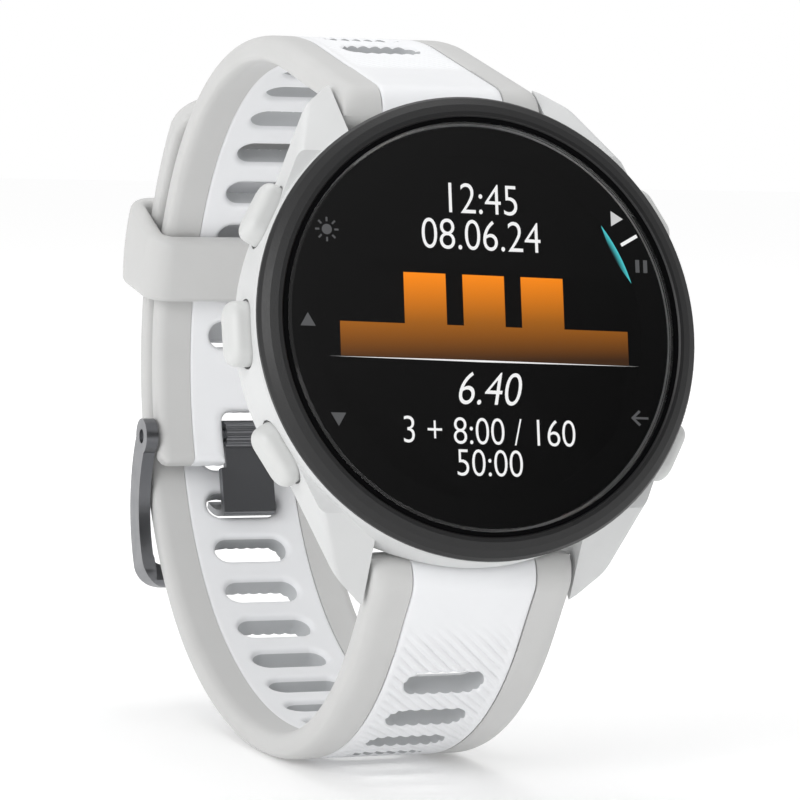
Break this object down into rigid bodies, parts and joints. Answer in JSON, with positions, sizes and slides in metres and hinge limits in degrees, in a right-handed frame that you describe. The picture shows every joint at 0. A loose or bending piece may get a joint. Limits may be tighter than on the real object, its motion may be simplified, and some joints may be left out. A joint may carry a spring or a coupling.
{
  "type": "gps running watch",
  "caption": "Round sports watch with black bezel, side buttons and a closed two-tone slotted silicone strap with keeper and pin buckle.",
  "frame": {"origin": "centre of the sensor window's flat outer face, in the middle of the case back", "axes": "+X to 3 o'clock, +Z to 12 o'clock, +Y from the case back into the wrist, so the dial faces -Y"},
  "size_m": [0.0448, 0.0744, 0.0719],
  "materials": {
    "case_polymer": "fine satin fibre-reinforced polymer",
    "button_polymer": "satin moulded",
    "bezel_polymer": "fine matte grain",
    "lens_glass": "polished, chemically strengthened",
    "display": "dark transflective panel",
    "flex_circuit": "amber polyimide",
    "black_polymer": "moulded",
    "circuit_board": "solder mask",
    "chip_epoxy": "moulded epoxy",
    "tinned_steel": "tinned sheet",
    "cell_foil": "laminated pouch foil",
    "contact_brass": "gold flashed",
    "cover_polymer": "matte moulded",
    "seal_rubber": "moulded silicone",
    "screw_steel": "stainless",
    "sensor_glass": "polished dark window",
    "led_lens": "clear epoxy",
    "silicone_grey": "matte moulded silicone",
    "silicone_white": "matte moulded silicone, ribbed outer face",
    "gunmetal_steel": "brushed, dark coated"
  },
  "bodies": {
    "case": {"case_body": "case_polymer", "bezel": "bezel_polymer", "lens": "lens_glass", "lens_gasket": "seal_rubber", "display_panel": "display", "display_flex": "flex_circuit", "inner_frame": "black_polymer", "main_board": "circuit_board", "board_chips": "chip_epoxy", "shield_can": "tinned_steel", "tact_switches": "tinned_steel", "battery": "cell_foil", "battery_flex": "flex_circuit", "vibration_motor": "tinned_steel", "buzzer": "contact_brass", "gps_antenna": "contact_brass", "rear_cover": "cover_polymer", "rear_gasket": "seal_rubber", "rear_screws": "screw_steel", "sensor_window": "sensor_glass", "sensor_leds": "led_lens", "sensor_board": "circuit_board", "charge_block": "black_polymer", "charge_pins": "contact_brass", "button_seals": "seal_rubber"},
    "button_light": {"button_light": "button_polymer", "clip_light": "screw_steel"},
    "button_up": {"button_up": "button_polymer", "clip_up": "screw_steel"},
    "button_down": {"button_down": "button_polymer", "clip_down": "screw_steel"},
    "button_start": {"button_start": "button_polymer", "clip_start": "screw_steel"},
    "button_back": {"button_back": "button_polymer", "clip_back": "screw_steel"},
    "upper_strap": {"upper_strap_border": "silicone_grey", "upper_strap_core": "silicone_white", "upper_bar_tube": "screw_steel"},
    "upper_lever": {"upper_bar_lever": "screw_steel"},
    "lower_strap": {"lower_strap_border": "silicone_grey", "lower_strap_core": "silicone_white", "lower_bar_tube": "screw_steel"},
    "lower_lever": {"lower_bar_lever": "screw_steel"},
    "keeper": {"keeper": "silicone_grey"},
    "buckle_frame": {"buckle_frame": "gunmetal_steel", "buckle_pin": "gunmetal_steel"},
    "buckle_tongue": {"buckle_tongue": "gunmetal_steel"}
  },
  "joints": [
    {"name": "press_light", "type": "slide", "parent": "case", "child": "button_light", "axis": [0.866, 0, -0.5], "range_m": [0, 0.0005], "stiffness_N_per_m": 1200, "springref_m": -0.001},
    {"name": "press_up", "type": "slide", "parent": "case", "child": "button_up", "axis": [1, 0, 0], "range_m": [0, 0.0005], "stiffness_N_per_m": 1200, "springref_m": -0.001},
    {"name": "press_down", "type": "slide", "parent": "case", "child": "button_down", "axis": [0.866, 0, 0.5], "range_m": [0, 0.0005], "stiffness_N_per_m": 1200, "springref_m": -0.001},
    {"name": "press_start", "type": "slide", "parent": "case", "child": "button_start", "axis": [-0.866, 0, -0.5], "range_m": [0, 0.0005], "stiffness_N_per_m": 1200, "springref_m": -0.001},
    {"name": "press_back", "type": "slide", "parent": "case", "child": "button_back", "axis": [-0.866, 0, 0.5], "range_m": [0, 0.0005], "stiffness_N_per_m": 1200, "springref_m": -0.001},
    {"name": "upper_strap_pivot", "type": "hinge", "parent": "case", "child": "upper_strap", "pos_m": [0, -0.0026, 0.022], "axis": [1, 0, 0], "range_deg": [-0.8, 0.8]},
    {"name": "lower_strap_pivot", "type": "hinge", "parent": "case", "child": "lower_strap", "pos_m": [0, -0.0026, -0.022], "axis": [1, 0, 0], "range_deg": [-0.8, 0.8]},
    {"name": "upper_release", "type": "slide", "parent": "upper_strap", "child": "upper_lever", "axis": [-1, 0, 0], "range_m": [0, 0.0012], "stiffness_N_per_m": 800, "springref_m": -0.001},
    {"name": "lower_release", "type": "slide", "parent": "lower_strap", "child": "lower_lever", "axis": [-1, 0, 0], "range_m": [0, 0.0012], "stiffness_N_per_m": 800, "springref_m": -0.001},
    {"name": "keeper_travel", "type": "hinge", "parent": "upper_strap", "child": "keeper", "pos_m": [0, 0.0257, 0.0026], "axis": [1, 0, 0], "range_deg": [-18, 22]},
    {"name": "buckle_swing", "type": "hinge", "parent": "upper_strap", "child": "buckle_frame", "pos_m": [0, 0.05709, 0.00063], "axis": [1, 0, 0], "range_deg": [0, 110]},
    {"name": "tongue_swing", "type": "hinge", "parent": "upper_strap", "child": "buckle_tongue", "pos_m": [0, 0.05709, 0.00063], "axis": [1, 0, 0], "range_deg": [-100, 0]}
  ],
  "couplings": [
    {"joint": "upper_strap_pivot", "follows": "lower_strap_pivot", "ratio": 1}
  ]
}
